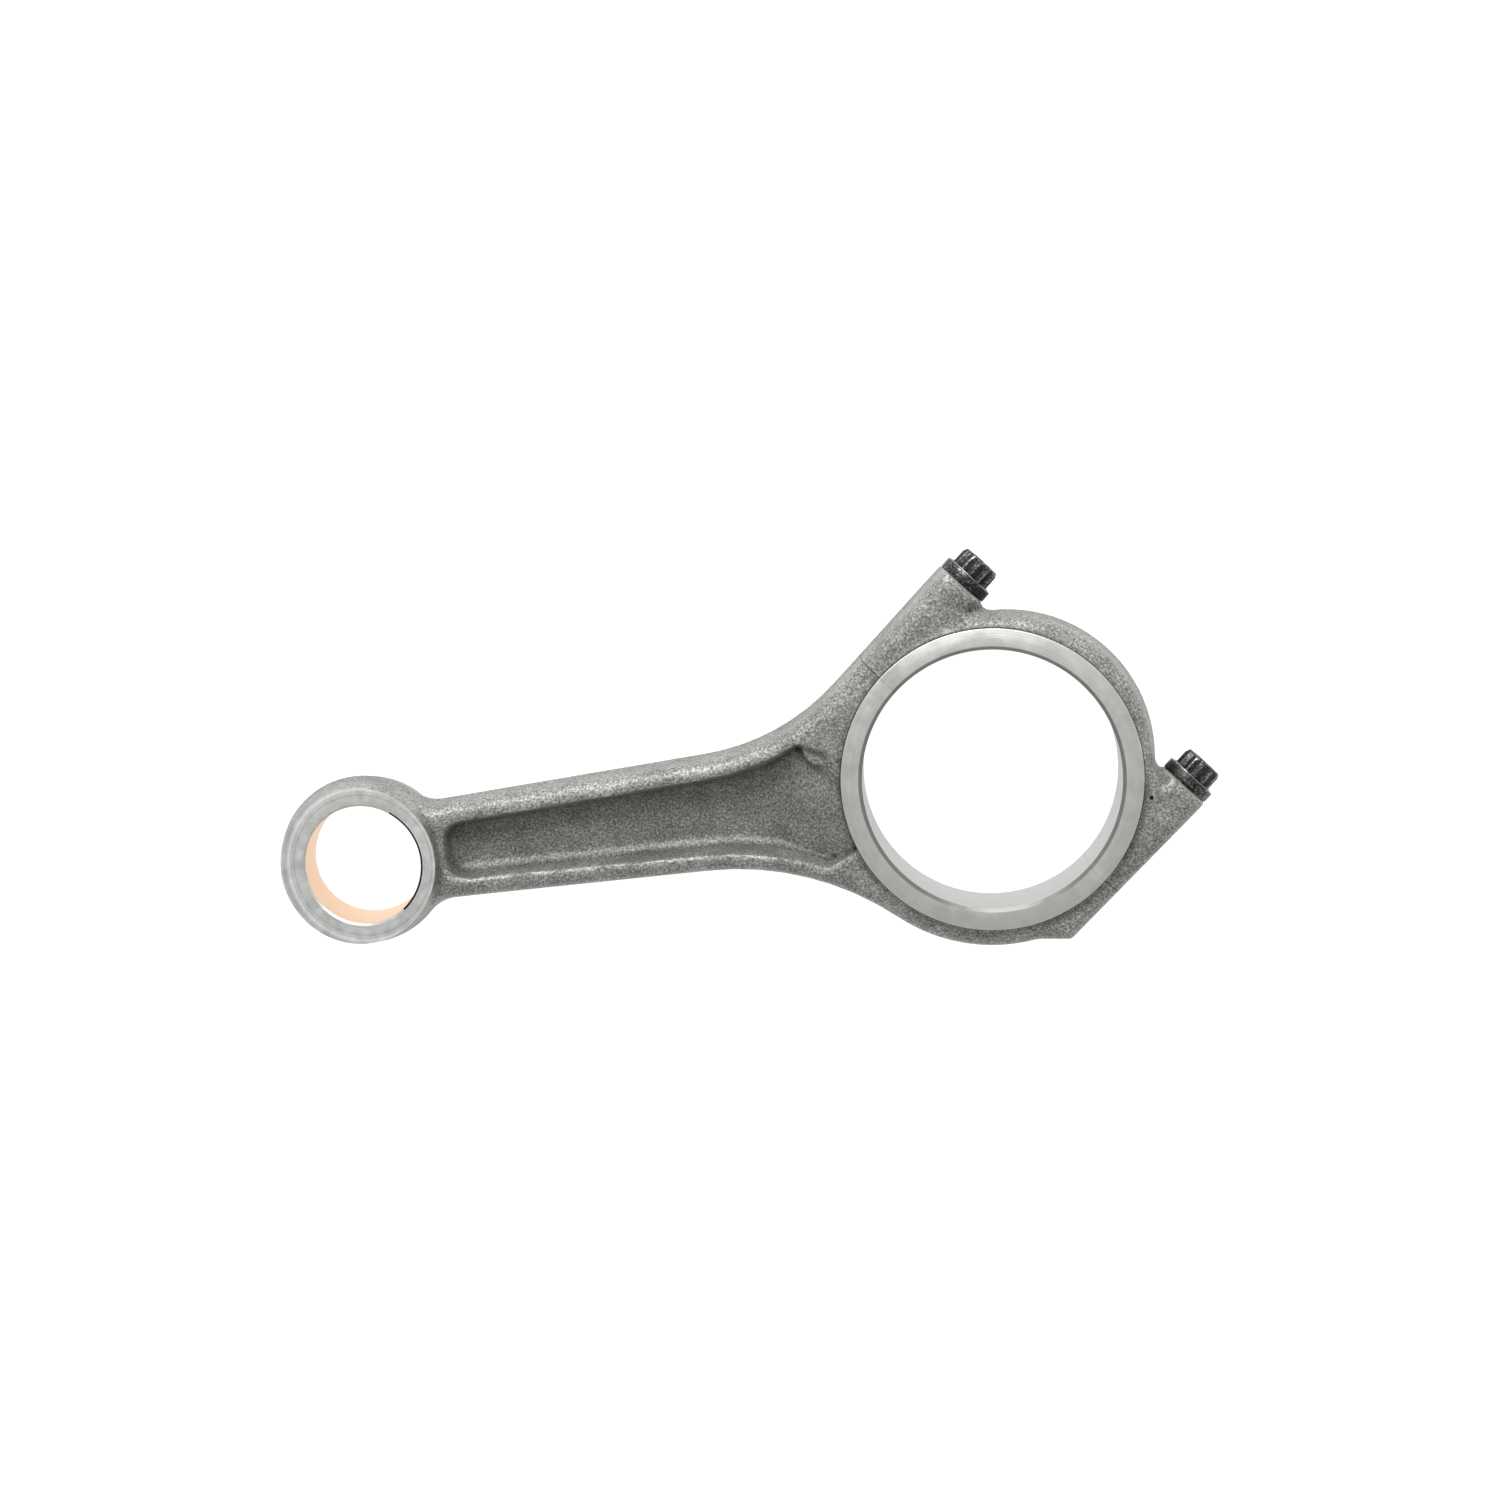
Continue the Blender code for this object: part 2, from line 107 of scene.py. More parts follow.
def name_it(name, material=None):
    """Name the piece just added, give it a material and put its place into its mesh."""
    piece = bpy.context.object
    piece.name = piece.data.name = name
    single_out(piece)
    bpy.ops.object.transform_apply(location=True, rotation=True, scale=True)
    if material:
        piece.data.materials.append(material)
    return piece


def apply_modifiers(piece):
    single_out(piece)
    for modifier in list(piece.modifiers):
        bpy.ops.object.modifier_apply(modifier=modifier.name)


def machine(piece, *tools, operation="DIFFERENCE"):
    """Cut a piece with tools, or add them; the new faces keep the tool's material."""
    for tool in tools:
        cut = piece.modifiers.new("cut", "BOOLEAN")
        cut.operation = operation
        cut.solver = "EXACT"
        cut.material_mode = "TRANSFER"
        cut.object = tool
        apply_modifiers(piece)
        bpy.data.objects.remove(tool)


def pick_faces(piece, wanted):
    """Enter edit mode with just the faces selected that the test picks."""
    single_out(piece)
    bpy.ops.object.mode_set(mode="EDIT")
    bpy.ops.mesh.select_mode(type="FACE")
    bpy.ops.mesh.select_all(action="DESELECT")
    mesh = bmesh.from_edit_mesh(piece.data)
    for face in mesh.faces:
        face.select_set(wanted(face))
    bmesh.update_edit_mesh(piece.data)


def linear(hex_colour):
    """An sRGB hex colour as linear RGBA."""
    channels = [int(hex_colour[i:i + 2], 16) / 255 for i in (1, 3, 5)]
    return [c / 12.92 if c <= 0.04045 else ((c + 0.055) / 1.055) ** 2.4 for c in channels] + [1]


def add_node(material, kind, links=(), **settings):
    """Add a shader node: settings are its properties or inputs, links are (input, socket)."""
    tree = material.node_tree
    node = tree.nodes.new(kind)
    for key, value in settings.items():
        socket = node.inputs.get(key.replace("_", " "))
        if hasattr(node, key):
            setattr(node, key, value)
        else:
            socket.default_value = value
    for key, socket in links:
        tree.links.new(socket, node.inputs[key])
    return node


def new_finish(name, colour, roughness, metallic=1.0):
    """A Principled material with its plain values; its pattern is wired in afterwards."""
    material = bpy.data.materials.new(name)
    material.use_nodes = True
    shader = material.node_tree.nodes["Principled BSDF"]
    shader.inputs["Base Color"].default_value = linear(colour)
    shader.inputs["Roughness"].default_value = roughness
    shader.inputs["Metallic"].default_value = metallic
    return material, shader


def ramp_stops(node, *stops):
    """Give a colour ramp its stops: (position, hex colour) pairs."""
    while len(node.color_ramp.elements) < len(stops):
        node.color_ramp.elements.new(0.5)
    for element, (position, colour) in zip(node.color_ramp.elements, stops):
        element.position = position
        element.color = linear(colour)
    return node


# Shot-peened carbon steel: small overlapping dents of about 1 mm and finer grit between
# them break the grey up into a fine sparkle; scale residue makes soft darker clouds.
forged_skin, shader = new_finish("shot_peened_forged_steel", "#93938F", 0.5, metallic=0.45)
place = add_node(forged_skin, "ShaderNodeTexCoord").outputs["Object"]
dents = add_node(forged_skin, "ShaderNodeTexVoronoi", [("Vector", place)], Scale=1 / 0.0010,
                 feature="SMOOTH_F1", Smoothness=0.6)
grit = add_node(forged_skin, "ShaderNodeTexNoise", [("Vector", place)], Scale=1 / 0.0007,
                Detail=4.0, Roughness=0.65)
clouds = add_node(forged_skin, "ShaderNodeTexNoise", [("Vector", place)], Scale=1 / 0.011,
                  Detail=3.0, Roughness=0.55)
tones = ramp_stops(add_node(forged_skin, "ShaderNodeValToRGB", [("Fac", grit.outputs["Fac"])]),
                   (0.32, "#585855"), (0.50, "#92928E"), (0.68, "#D0D0CA"))
residue = ramp_stops(add_node(forged_skin, "ShaderNodeValToRGB",
                              [("Fac", clouds.outputs["Fac"])]),
                     (0.32, "#DCDBD8"), (0.62, "#FFFFFF"))
skin_colour = add_node(forged_skin, "ShaderNodeMix",
                       [(6, tones.outputs["Color"]), (7, residue.outputs["Color"])],
                       data_type="RGBA", blend_type="MULTIPLY")
skin_colour.inputs[0].default_value = 1.0
# Painted shade: the hollow lines are darkened by their curvature, flat skin is dimmed a little and
# convex edges keep the full tone.
relief = add_node(forged_skin, "ShaderNodeNewGeometry").outputs["Pointiness"]
crease_shade = ramp_stops(add_node(forged_skin, "ShaderNodeValToRGB", [("Fac", relief)]),
                     (0.450, "#4A4A4A"), (0.490, "#E4E4E4"), (0.560, "#FFFFFF"))
skin_with_crease_shade = add_node(forged_skin, "ShaderNodeMix",
                       [(6, skin_colour.outputs[2]), (7, crease_shade.outputs["Color"])],
                       data_type="RGBA", blend_type="MULTIPLY")
skin_with_crease_shade.inputs[0].default_value = 1.0
# Painted shade: skin near the mid-plane, that is the pocket floors, is darkened as shade in a
# recess.
height = add_node(forged_skin, "ShaderNodeSeparateXYZ", [("Vector", place)])
from_middle = add_node(forged_skin, "ShaderNodeMath", [(0, height.outputs["Z"])],
                       operation="SUBTRACT")
from_middle.inputs[1].default_value = middle
raised = add_node(forged_skin, "ShaderNodeMath", [(0, from_middle.outputs["Value"])],
                  operation="ABSOLUTE")
pocket_shade = add_node(forged_skin, "ShaderNodeMapRange", [("Value", raised.outputs["Value"])],
                   From_Min=0.0045, From_Max=0.0110, To_Min=0.80, To_Max=1.0)
skin_shade = add_node(forged_skin, "ShaderNodeVectorMath",
                      [(0, skin_with_crease_shade.outputs[2]), ("Scale", pocket_shade.outputs["Result"])],
                      operation="SCALE")
# Painted shade: two dark hairlines, one along the split and one in the corner at the ring's foot.
from_bore = add_node(forged_skin, "ShaderNodeVectorMath", [(0, place)], operation="SUBTRACT")
from_bore.inputs[1].default_value = big_end
beyond_split = add_node(forged_skin, "ShaderNodeVectorMath", [(0, from_bore.outputs["Vector"])],
                        operation="DOT_PRODUCT")
beyond_split.inputs[1].default_value = along
off_split = add_node(forged_skin, "ShaderNodeMath", [(0, beyond_split.outputs["Value"])],
                     operation="ABSOLUTE")
split_shade = add_node(forged_skin, "ShaderNodeMapRange", [("Value", off_split.outputs["Value"])],
                      From_Min=0.00012, From_Max=0.00035, To_Min=0.35, To_Max=1.0)
level_out = add_node(forged_skin, "ShaderNodeVectorMath", [(0, from_bore.outputs["Vector"])],
                     operation="MULTIPLY")
level_out.inputs[1].default_value = (1, 1, 0)
from_axis = add_node(forged_skin, "ShaderNodeVectorMath", [(0, level_out.outputs["Vector"])],
                     operation="LENGTH")
ring_foot_shade = add_node(forged_skin, "ShaderNodeMapRange", [("Value", from_axis.outputs["Value"])],
                     From_Min=RING_RADIUS + 0.0002, From_Max=RING_RADIUS + 0.0005,
                     To_Min=0.25, To_Max=1.0)
hairline_shade = add_node(forged_skin, "ShaderNodeMath",
                 [(0, split_shade.outputs["Result"]), (1, ring_foot_shade.outputs["Result"])],
                 operation="MULTIPLY")
skin_with_hairline_shade = add_node(forged_skin, "ShaderNodeVectorMath",
                 [(0, skin_shade.outputs["Vector"]), ("Scale", hairline_shade.outputs["Value"])],
                 operation="SCALE")
forged_skin.node_tree.links.new(skin_with_hairline_shade.outputs["Vector"], shader.inputs["Base Color"])
rough = add_node(forged_skin, "ShaderNodeMapRange", [("Value", clouds.outputs["Fac"])],
                 **{"To_Min": 0.44, "To_Max": 0.58})
forged_skin.node_tree.links.new(rough.outputs["Result"], shader.inputs["Roughness"])
dent_bump = add_node(forged_skin, "ShaderNodeBump", [("Height", dents.outputs["Distance"])],
                     Strength=0.55, Distance=0.00012)
grit_bump = add_node(forged_skin, "ShaderNodeBump",
                     [("Height", grit.outputs["Fac"]), ("Normal", dent_bump.outputs["Normal"])],
                     Strength=0.5, Distance=0.0002)
forged_skin.node_tree.links.new(grit_bump.outputs["Normal"], shader.inputs["Normal"])

# The two solids come over as copies, and the cap is grown across the fitting gap to meet
# the rod, so that the forging is whole again.
for node in ("rod_forging", "bearing_cap"):
    mesh = frame["nodes"][node].data.copy()
    mesh.materials.clear()
    blank = bpy.data.objects.new("blank_" + node, mesh)
    bpy.context.collection.objects.link(blank)
    pick_faces(blank, lambda face: True)
    bpy.ops.mesh.remove_doubles(threshold=1e-6)
    bpy.ops.object.mode_set(mode="OBJECT")
cap_blank = bpy.data.objects["blank_bearing_cap"]
pick_faces(cap_blank, lambda face: face.normal.dot(along) < -0.99
           and abs((face.calc_center_median() - big_end).dot(along)) < 0.0005)
bpy.ops.mesh.extrude_region_move(TRANSFORM_OT_translate={"value": along * -0.0006})
bpy.ops.object.mode_set(mode="OBJECT")

fillings = [cap_blank]
bpy.ops.mesh.primitive_cylinder_add(vertices=96, radius=BORE_RADIUS + 0.002, depth=width,
                                    location=big_end + Vector((0, 0, middle)))
fillings.append(name_it("bore_stock"))
for turn in (1, -1):
    bpy.ops.mesh.primitive_cone_add(vertices=96, radius1=EYE_RADIUS,
                                    radius2=EYE_RADIUS - EYE_HALF_STOCK * DRAFT,
                                    depth=EYE_HALF_STOCK,
                                    location=pin + Vector((-EYE_OFFSET, 0,
                                                           middle + turn * EYE_HALF_STOCK / 2)),
                                    rotation=(0 if turn > 0 else math.pi, 0, 0))
    fillings.append(name_it("eye_stock"))
for side, length, low in ((1, 0.0655, -0.027), (-1, 0.0545, -0.016)):
    bpy.ops.mesh.primitive_cylinder_add(vertices=48, radius=0.0062, depth=length,
                                        location=at_split(side * BOLT_OFFSET, low + length / 2),
                                        rotation=along_bolts)
    fillings.append(name_it("bolt_stock"))

# The web thickens towards the big end: the pocket's floor climbs to the ring, and climbs
# more steeply towards the ear, where it runs out into the ear's side face.
for turn in (1, -1):
    for spot, foot, crest in (((0, 0.014, 0), 0.083, 0.039),
                              ((-0.040, 0.0134, 0), 0.0255, 0.0095)):
        bpy.ops.mesh.primitive_cube_add(size=1, scale=(0.040, 0.036, 0.016),
                                        location=big_end + Vector((-0.064, 0, middle
                                                                   + turn * 0.008)))
        skirt = name_it("skirt")
        bpy.ops.mesh.primitive_cone_add(vertices=96, radius1=foot, radius2=crest, depth=0.0165,
                                        location=big_end + Vector(spot)
                                        + Vector((0, 0, middle + turn * 0.00825)),
                                        rotation=(0 if turn > 0 else math.pi, 0, 0))
        machine(skirt, name_it("skirt_cone"), operation="INTERSECT")
        fillings.append(skirt)

# The upper bolt's blind hole needs metal round its end: a rounded boss runs out of the ear
# into the pocket on each side and shows there as a short curved step.
for turn in (1, -1):
    bpy.ops.mesh.primitive_cone_add(vertices=48, radius1=0.0068, radius2=0.0052, depth=0.0145,
                                    location=at_split(BOLT_OFFSET - 0.001, -0.0300,
                                                      middle + turn * 0.00725),
                                    rotation=(0 if turn > 0 else math.pi, 0, 0))
    fillings.append(name_it("boss_end"))

forging = bpy.data.objects["blank_rod_forging"]
forging.name = forging.data.name = "forging"
single_out(forging)
for filling in fillings:
    filling.select_set(True)
bpy.ops.object.join()
skin = forging.modifiers.new("skin", "REMESH")
skin.mode = "VOXEL"
skin.voxel_size = FORGING_VOXEL
blends = forging.modifiers.new("blends", "SMOOTH")
blends.factor = 0.5
blends.iterations = 5
apply_modifiers(forging)
forging.data.materials.clear()
forging.data.materials.append(forged_skin)

# --- Machining of the forging ----------------------------------------------------------
# The side faces of both ends are milled, the bores bored and honed, the bolt seats spot
# faced. Each cutter carries the finish that it leaves behind.

EYE_BORE_RADIUS = 0.0210      # under the bush
SEAT_HEIGHT = 0.03885         # from the split to the bolt seats
SEAT_RADIUS = 0.0094
BOLT_HOLE_RADIUS = 0.0055
TAPER = math.radians(11.5)    # lean of the eye's side faces towards the tip
TAPER_START = 0.0136          # where it begins, from the pin axis towards the shank
BIG_CHAMFER = 0.0011
EYE_CHAMFER = 0.00005
RUN_OUT = 0.002               # how far a cutter runs past the face


def gather(tools):
    """Join cutters that don't touch into one."""
    single_out(tools[0])
    for tool in tools[1:]:
        tool.select_set(True)
    bpy.ops.object.join()
    return tools[0]


def tool_marks(name, colour, roughness, centre, spacing, depth, contrast=0.1):
    """Bare steel with fine rings about an axis, as a turning or facing tool leaves them."""
    material, shader = new_finish(name, colour, roughness)
    place = add_node(material, "ShaderNodeTexCoord").outputs["Object"]
    moved = add_node(material, "ShaderNodeMapping", [("Vector", place)])
    moved.inputs["Location"].default_value = tuple(-c for c in centre)
    flat = add_node(material, "ShaderNodeVectorMath", [(0, moved.outputs["Vector"])],
                    operation="MULTIPLY")
    flat.inputs[1].default_value = (1, 1, 0)
    radius = add_node(material, "ShaderNodeVectorMath", [(0, flat.outputs["Vector"])],
                      operation="LENGTH")
    rings = add_node(material, "ShaderNodeTexNoise", [("W", radius.outputs["Value"])],
                     noise_dimensions="1D", Scale=1 / spacing, Detail=3.0, Roughness=0.7)
    mottle = add_node(material, "ShaderNodeTexNoise", [("Vector", place)], Scale=1 / 0.0045,
                      Detail=4.0, Roughness=0.6)
    grain = add_node(material, "ShaderNodeTexNoise", [("Vector", place)], Scale=1 / 0.0007,
                     Detail=3.0, Roughness=0.7)
    shade = add_node(material, "ShaderNodeMath",
                     [(0, rings.outputs["Fac"]), (1, mottle.outputs["Fac"])], operation="ADD")
    level = add_node(material, "ShaderNodeMapRange", [("Value", shade.outputs["Value"])],
                     From_Min=0.7, From_Max=1.3, To_Min=roughness - 0.05,
                     To_Max=roughness + 0.09)
    material.node_tree.links.new(level.outputs["Result"], shader.inputs["Roughness"])
    tint = add_node(material, "ShaderNodeMapRange", [("Value", shade.outputs["Value"])],
                    From_Min=0.6, From_Max=1.4, To_Min=0.96 - contrast,
                    To_Max=0.96 + contrast)
    colour_mix = add_node(material, "ShaderNodeVectorMath", [(1, tint.outputs["Result"])],
                          operation="MULTIPLY")
    colour_mix.inputs[0].default_value = linear(colour)[:3]
    material.node_tree.links.new(colour_mix.outputs["Vector"], shader.inputs["Base Color"])
    ring_bump = add_node(material, "ShaderNodeBump", [("Height", rings.outputs["Fac"])],
                         Strength=0.35, Distance=depth)
    grain_bump = add_node(material, "ShaderNodeBump",
                          [("Height", grain.outputs["Fac"]),
                           ("Normal", ring_bump.outputs["Normal"])],
                          Strength=0.25, Distance=0.00005)
    material.node_tree.links.new(grain_bump.outputs["Normal"], shader.inputs["Normal"])
    return material


# Fine turning leaves the ring pale with faint circles, facing leaves broader arcs on the eye,
# and honing leaves the bore smooth, so that it mirrors the light from below.
ring_finish = tool_marks("fine_turned_steel_ring", "#C8C8C4", 0.42, big_end, 0.0007, 0.00006)
eye_finish = tool_marks("milled_steel_eye", "#DCDEDC", 0.42, pin, 0.0018, 0.00012, 0.3)
bore_finish = tool_marks("honed_steel_bore", "#A4A4A2", 0.34, big_end, 0.0004, 0.00002)


def boring_bar(name, centre, radius, chamfer, finish):
    """A cutter for a bore and the chamfers at both of its mouths."""
    bpy.ops.mesh.primitive_cylinder_add(vertices=192, radius=radius, depth=width - 2 * chamfer,
                                        location=centre + Vector((0, 0, middle)))
    bar = name_it(name, finish)
    for turn in (1, -1):
        pick_faces(bar, lambda face: face.normal.z * turn > 0.9)
        bpy.ops.mesh.extrude_region_move(
            TRANSFORM_OT_translate={"value": (0, 0, turn * (chamfer + RUN_OUT))})
        spread = 1 + (chamfer + RUN_OUT) / radius
        bpy.ops.transform.resize(value=(spread, spread, 1), center_override=centre)
        bpy.ops.object.mode_set(mode="OBJECT")
    return bar


# The big end's ring stands square and sharp on the soft forging, with a broken edge.
bpy.ops.mesh.primitive_cylinder_add(vertices=192, radius=RING_RADIUS, depth=width,
                                    location=big_end + Vector((0, 0, middle)))
ring = name_it("ring", ring_finish)
edge = ring.modifiers.new("broken edge", "BEVEL")
edge.width = 0.0004
edge.segments = 2
edge.limit_method = "ANGLE"
edge.angle_limit = math.radians(60)
apply_modifiers(ring)
machine(ring, boring_bar("big_boring_bar", big_end, BORE_RADIUS, BIG_CHAMFER, bore_finish))
bpy.ops.mesh.primitive_cylinder_add(vertices=130, radius=RING_RADIUS - 0.0007,
                                    depth=width + 0.02,
                                    location=big_end + Vector((0, 0, middle)))
machine(forging, name_it("rough_bore", bore_finish))
machine(forging, ring, operation="UNION")


# Both side faces of the eye are flat next to the shank, and lean in towards the tip.
def side_mills(finish, depth=0.0):
    """Cutters for the eye's two side faces, with the lean towards the tip."""
    mills = []
    for turn, face in ((1, top), (-1, bottom)):
        bpy.ops.mesh.primitive_cube_add(size=1, scale=(0.12, 0.10, 0.03),
                                        location=(pin.x, pin.y,
                                                  face + turn * (0.015 - depth)))
        mill = name_it("side_mill", finish)
        pick_faces(mill, lambda face: True)
        bpy.ops.mesh.bisect(plane_co=(pin.x + TAPER_START, 0, 0), plane_no=(1, 0, 0))
        bpy.ops.object.mode_set(mode="OBJECT")
        for vertex in mill.data.vertices:
            reach = pin.x + TAPER_START - vertex.co.x
            if reach > 0.001 and abs(vertex.co.z - face) < 0.01:
                vertex.co.z -= turn * reach * math.tan(TAPER)
        mills.append(mill)
    return gather(mills)


machine(forging, side_mills(eye_finish))
machine(forging, boring_bar("eye_boring_bar", pin, EYE_BORE_RADIUS, EYE_CHAMFER, eye_finish))

# Threads of 1.25 mm pitch line the bolt holes. On the real rod the cap's half is a plain clearance
# hole; here the thread pattern runs through it too.
hole_finish, shader = new_finish("cut_thread_steel", "#8F8F8C", 0.38)
place = add_node(hole_finish, "ShaderNodeTexCoord").outputs["Object"]
turned = add_node(hole_finish, "ShaderNodeMapping", [("Vector", place)])
turned.inputs["Rotation"].default_value = (0, 0, -split_angle)
thread = add_node(hole_finish, "ShaderNodeTexWave", [("Vector", turned.outputs["Vector"])],
                  Scale=math.tau / 0.00125 / 20, Distortion=0.0, bands_direction="X")
cut = add_node(hole_finish, "ShaderNodeBump", [("Height", thread.outputs["Fac"])],
               Strength=1.0, Distance=0.0006)
hole_finish.node_tree.links.new(cut.outputs["Normal"], shader.inputs["Normal"])

# Spot facing leaves a small bright flat under each bolt head.
seat_finish = tool_marks("spot_faced_steel", "#A8A8A4", 0.40, big_end, 0.0005, 0.00004)
drills = []
for side, low in ((1, -0.024), (-1, -0.045)):
    bpy.ops.mesh.primitive_cylinder_add(vertices=96, radius=SEAT_RADIUS, depth=0.012)
    drill = name_it("spot_facer", seat_finish)
    drill.data.materials.append(hole_finish)
    pick_faces(drill, lambda face: face.normal.z < -0.9)
    bpy.ops.mesh.inset(thickness=SEAT_RADIUS - BOLT_HOLE_RADIUS)
    bpy.ops.mesh.extrude_region_move(
        TRANSFORM_OT_translate={"value": (0, 0, low - SEAT_HEIGHT)})
    bpy.ops.object.mode_set(mode="OBJECT")
    for face in drill.data.polygons:
        face.material_index = int(face.center.z < -0.0061)
    drill.location = at_split(side * BOLT_OFFSET, SEAT_HEIGHT + 0.006)
    drill.rotation_euler = along_bolts
    bpy.ops.object.transform_apply(location=True, rotation=True, scale=True)
    drills.append(drill)
machine(forging, gather(drills))

# One small pit in the cap's skin, its hollow painted near-black as shade.
bpy.ops.mesh.primitive_ico_sphere_add(subdivisions=3, radius=0.0007,
                                      location=at_split(-0.0414, 0.0294, 0.0357))
machine(forging, name_it("pit", new_finish("pit_painted_shade", "#2A2A29", 0.8)[0]))

# --- Fracture split --------------------------------------------------------------------
# The finished big end is notched and snapped. The two broken faces are rough, match each
# other grain for grain, and leave only a hairline when the cap is bolted back on.

# Broken steel: crystalline grain of about 0.5 mm, bare and slightly sparkling.
broken, shader = new_finish("fractured_steel", "#9A9A98", 0.42)
place = add_node(broken, "ShaderNodeTexCoord").outputs["Object"]
grains = add_node(broken, "ShaderNodeTexVoronoi", [("Vector", place)], Scale=1 / 0.0005)
tone = ramp_stops(add_node(broken, "ShaderNodeValToRGB",
                           [("Fac", grains.outputs["Color"])]),
                  (0.1, "#70706E"), (0.9, "#B8B8B6"))
broken.node_tree.links.new(tone.outputs["Color"], shader.inputs["Base Color"])
chips = add_node(broken, "ShaderNodeBump", [("Height", grains.outputs["Distance"])],
                 Strength=0.8, Distance=0.0003)
broken.node_tree.links.new(chips.outputs["Normal"], shader.inputs["Normal"])

SPLIT_GAP = 0.00005           # what the broken faces leave open when bolted together

bpy.ops.mesh.primitive_grid_add(x_subdivisions=60, y_subdivisions=120, size=1)
bpy.context.object.scale = (0.060, 0.130, 1)
bpy.context.object.location = at_split(0, 0)
bpy.context.object.rotation_euler = along_bolts
beyond = name_it("beyond_the_fracture", broken)
grain = bpy.data.textures.new("fracture_grain", "CLOUDS")
grain.noise_scale = 0.0035
grain.noise_depth = 3
rough_face = beyond.modifiers.new("grain", "DISPLACE")
rough_face.texture = grain
rough_face.texture_coords = "GLOBAL"
rough_face.strength = 0.0009
apply_modifiers(beyond)
bpy.ops.object.mode_set(mode="EDIT")
bpy.ops.mesh.select_all(action="SELECT")
bpy.ops.mesh.extrude_region_move(TRANSFORM_OT_translate={"value": along * 0.1})
bpy.ops.mesh.select_all(action="SELECT")
bpy.ops.mesh.normals_make_consistent(inside=False)
bpy.ops.object.mode_set(mode="OBJECT")

rod = forging
cap = forging.copy()
cap.data = forging.data.copy()
cap_side = beyond.copy()
cap_side.data = beyond.data.copy()
for piece in (cap, cap_side):
    bpy.context.collection.objects.link(piece)
single_out(cap_side)
cap_side.location = along * SPLIT_GAP
bpy.ops.object.transform_apply(location=True)
machine(rod, beyond)
machine(cap, cap_side, operation="INTERSECT")
rod.name = rod.data.name = "rod"
cap.name = cap.data.name = "cap"

for piece, body, node in ((rod, "rod", "rod_forging"), (cap, "cap", "bearing_cap")):
    single_out(piece)
    bpy.ops.object.shade_smooth_by_angle(angle=math.radians(32))
    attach(piece, body)
    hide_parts(node)

# --- Small-end bush --------------------------------------------------------------------
# A wrapped, steel-backed bronze bush is pressed into the eye and fine bored. Its ends are
# milled with the eye, so that they follow the taper.

PIN_BORE_RADIUS = 0.0190      # inside the bush
BUSH_FIT = 0.00003            # all round the bush, and below the eye's faces

# Fine-bored lead bronze: warm pale orange, with faint bore rings.
bronze = tool_marks("fine_bored_bronze", "#EAC8A4", 0.36, pin, 0.0005, 0.00003)
bpy.ops.mesh.primitive_cylinder_add(vertices=160, radius=EYE_BORE_RADIUS - BUSH_FIT,
                                    depth=width - 2 * BUSH_FIT,
                                    location=pin + Vector((0, 0, middle)))
bush = name_it("bush", eye_finish)
machine(bush, side_mills(eye_finish, BUSH_FIT))
bpy.ops.mesh.primitive_cylinder_add(vertices=160, radius=PIN_BORE_RADIUS, depth=width + 0.02,
                                    location=pin + Vector((0, 0, middle)))
machine(bush, name_it("bush_boring_bar", bronze))
# The bore's edges are broken; on the shank side the broken edge is painted near-black as shade.
bush_edge_shade = new_finish("bush_edge_painted_shade", "#2E2E2E", 0.6)[0]
bush.data.materials.append(bush_edge_shade)
lining, edge_shade_index = (bush.data.materials.find(m.name) for m in (bronze, bush_edge_shade))
pick_faces(bush, lambda face: face.material_index == lining)
bpy.ops.mesh.region_to_loop()
bpy.ops.mesh.bevel(offset=0.0007, segments=1, material=edge_shade_index)
bpy.ops.object.mode_set(mode="OBJECT")
for face in bush.data.polygons:
    if face.material_index == edge_shade_index and face.center.x < pin.x + 0.0115:
        face.material_index = 0
single_out(bush)
bpy.ops.object.shade_smooth_by_angle(angle=math.radians(32))
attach(bush, "rod")
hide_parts("small_end_bush")

# --- Cap bolts -------------------------------------------------------------------------
# Two M11 high-tensile bolts with a twelve-point head and a thick flange, black oxide
# coated. The coating has worn through to bright steel along the edges.

# Black oxide on rolled steel: near-black satin, flecked, with worn points and rims.
bolt_black, shader = new_finish("black_oxide_steel", "#3A3A3B", 0.42)
place = add_node(bolt_black, "ShaderNodeTexCoord").outputs["Object"]
rub = add_node(bolt_black, "ShaderNodeTexNoise", [("Vector", place)], Scale=1 / 0.0008,
               Detail=4.0, Roughness=0.7)
geometry = add_node(bolt_black, "ShaderNodeNewGeometry")
worn = add_node(bolt_black, "ShaderNodeMath",
                [(0, geometry.outputs["Pointiness"]), (1, rub.outputs["Fac"])],
                operation="MULTIPLY_ADD")
worn.inputs[2].default_value = 0.0
wear = ramp_stops(add_node(bolt_black, "ShaderNodeValToRGB", [("Fac", worn.outputs["Value"])]),
                  (0.21, "#2C2C2D"), (0.30, "#4E4E4F"), (0.37, "#A0A09E"))
bolt_black.node_tree.links.new(wear.outputs["Color"], shader.inputs["Base Color"])
scuff = add_node(bolt_black, "ShaderNodeBump", [("Height", rub.outputs["Fac"])],
                 Strength=0.4, Distance=0.00012)
bolt_black.node_tree.links.new(scuff.outputs["Normal"], shader.inputs["Normal"])

FLANGE_RADIUS = 0.0087
FLANGE_THICKNESS = 0.0035
HEAD_CORNERS = 0.0069
HEAD_HEIGHT = 0.0061
PITCH = 0.00125
BOLT_END = -0.0205            # the bolt's end, beyond the split
THREAD_LENGTH = 0.019


